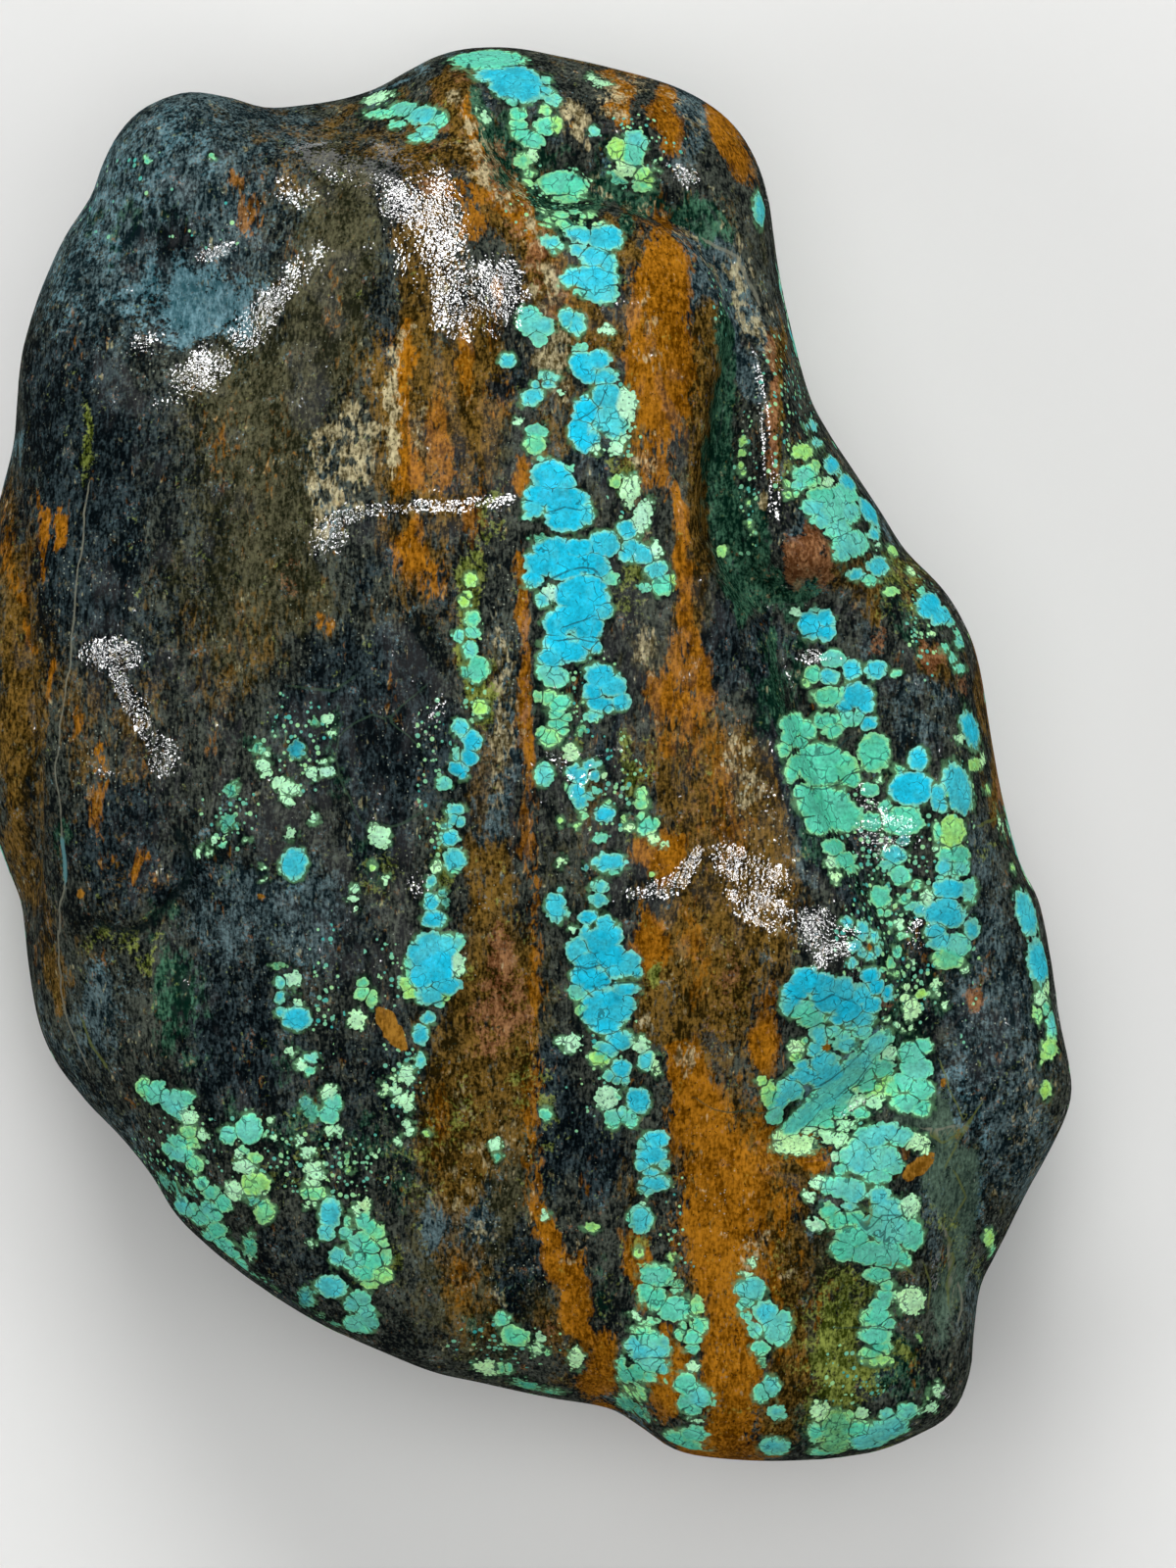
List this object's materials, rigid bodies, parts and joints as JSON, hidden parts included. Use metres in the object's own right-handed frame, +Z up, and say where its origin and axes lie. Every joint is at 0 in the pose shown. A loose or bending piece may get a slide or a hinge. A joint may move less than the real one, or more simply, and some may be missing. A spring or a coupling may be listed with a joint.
{
  "type": "raw turquoise nugget",
  "caption": "Water-rounded turquoise nugget lying on its broad side: dark striped host rock with nodules and veins of turquoise, and a deep groove down one flank.",
  "frame": {"origin": "middle of the bounding box in plan, on the ground flat that the nugget lies on", "axes": "+Z up out of the broad worn face, +Y along the length towards the end with the hollow behind the brow, +X towards the flank with the groove"},
  "size_m": [0.0561, 0.0721, 0.0306],
  "materials": {
    "turquoise_in_matrix": "polished and wet-looking; dark green-black, brown and ochre matrix in long bands, with sky-blue to lime-green turquoise nodules and fine black web lines"
  },
  "bodies": {
    "root": {"turquoise_nugget": "turquoise_in_matrix"}
  },
  "joints": []
}
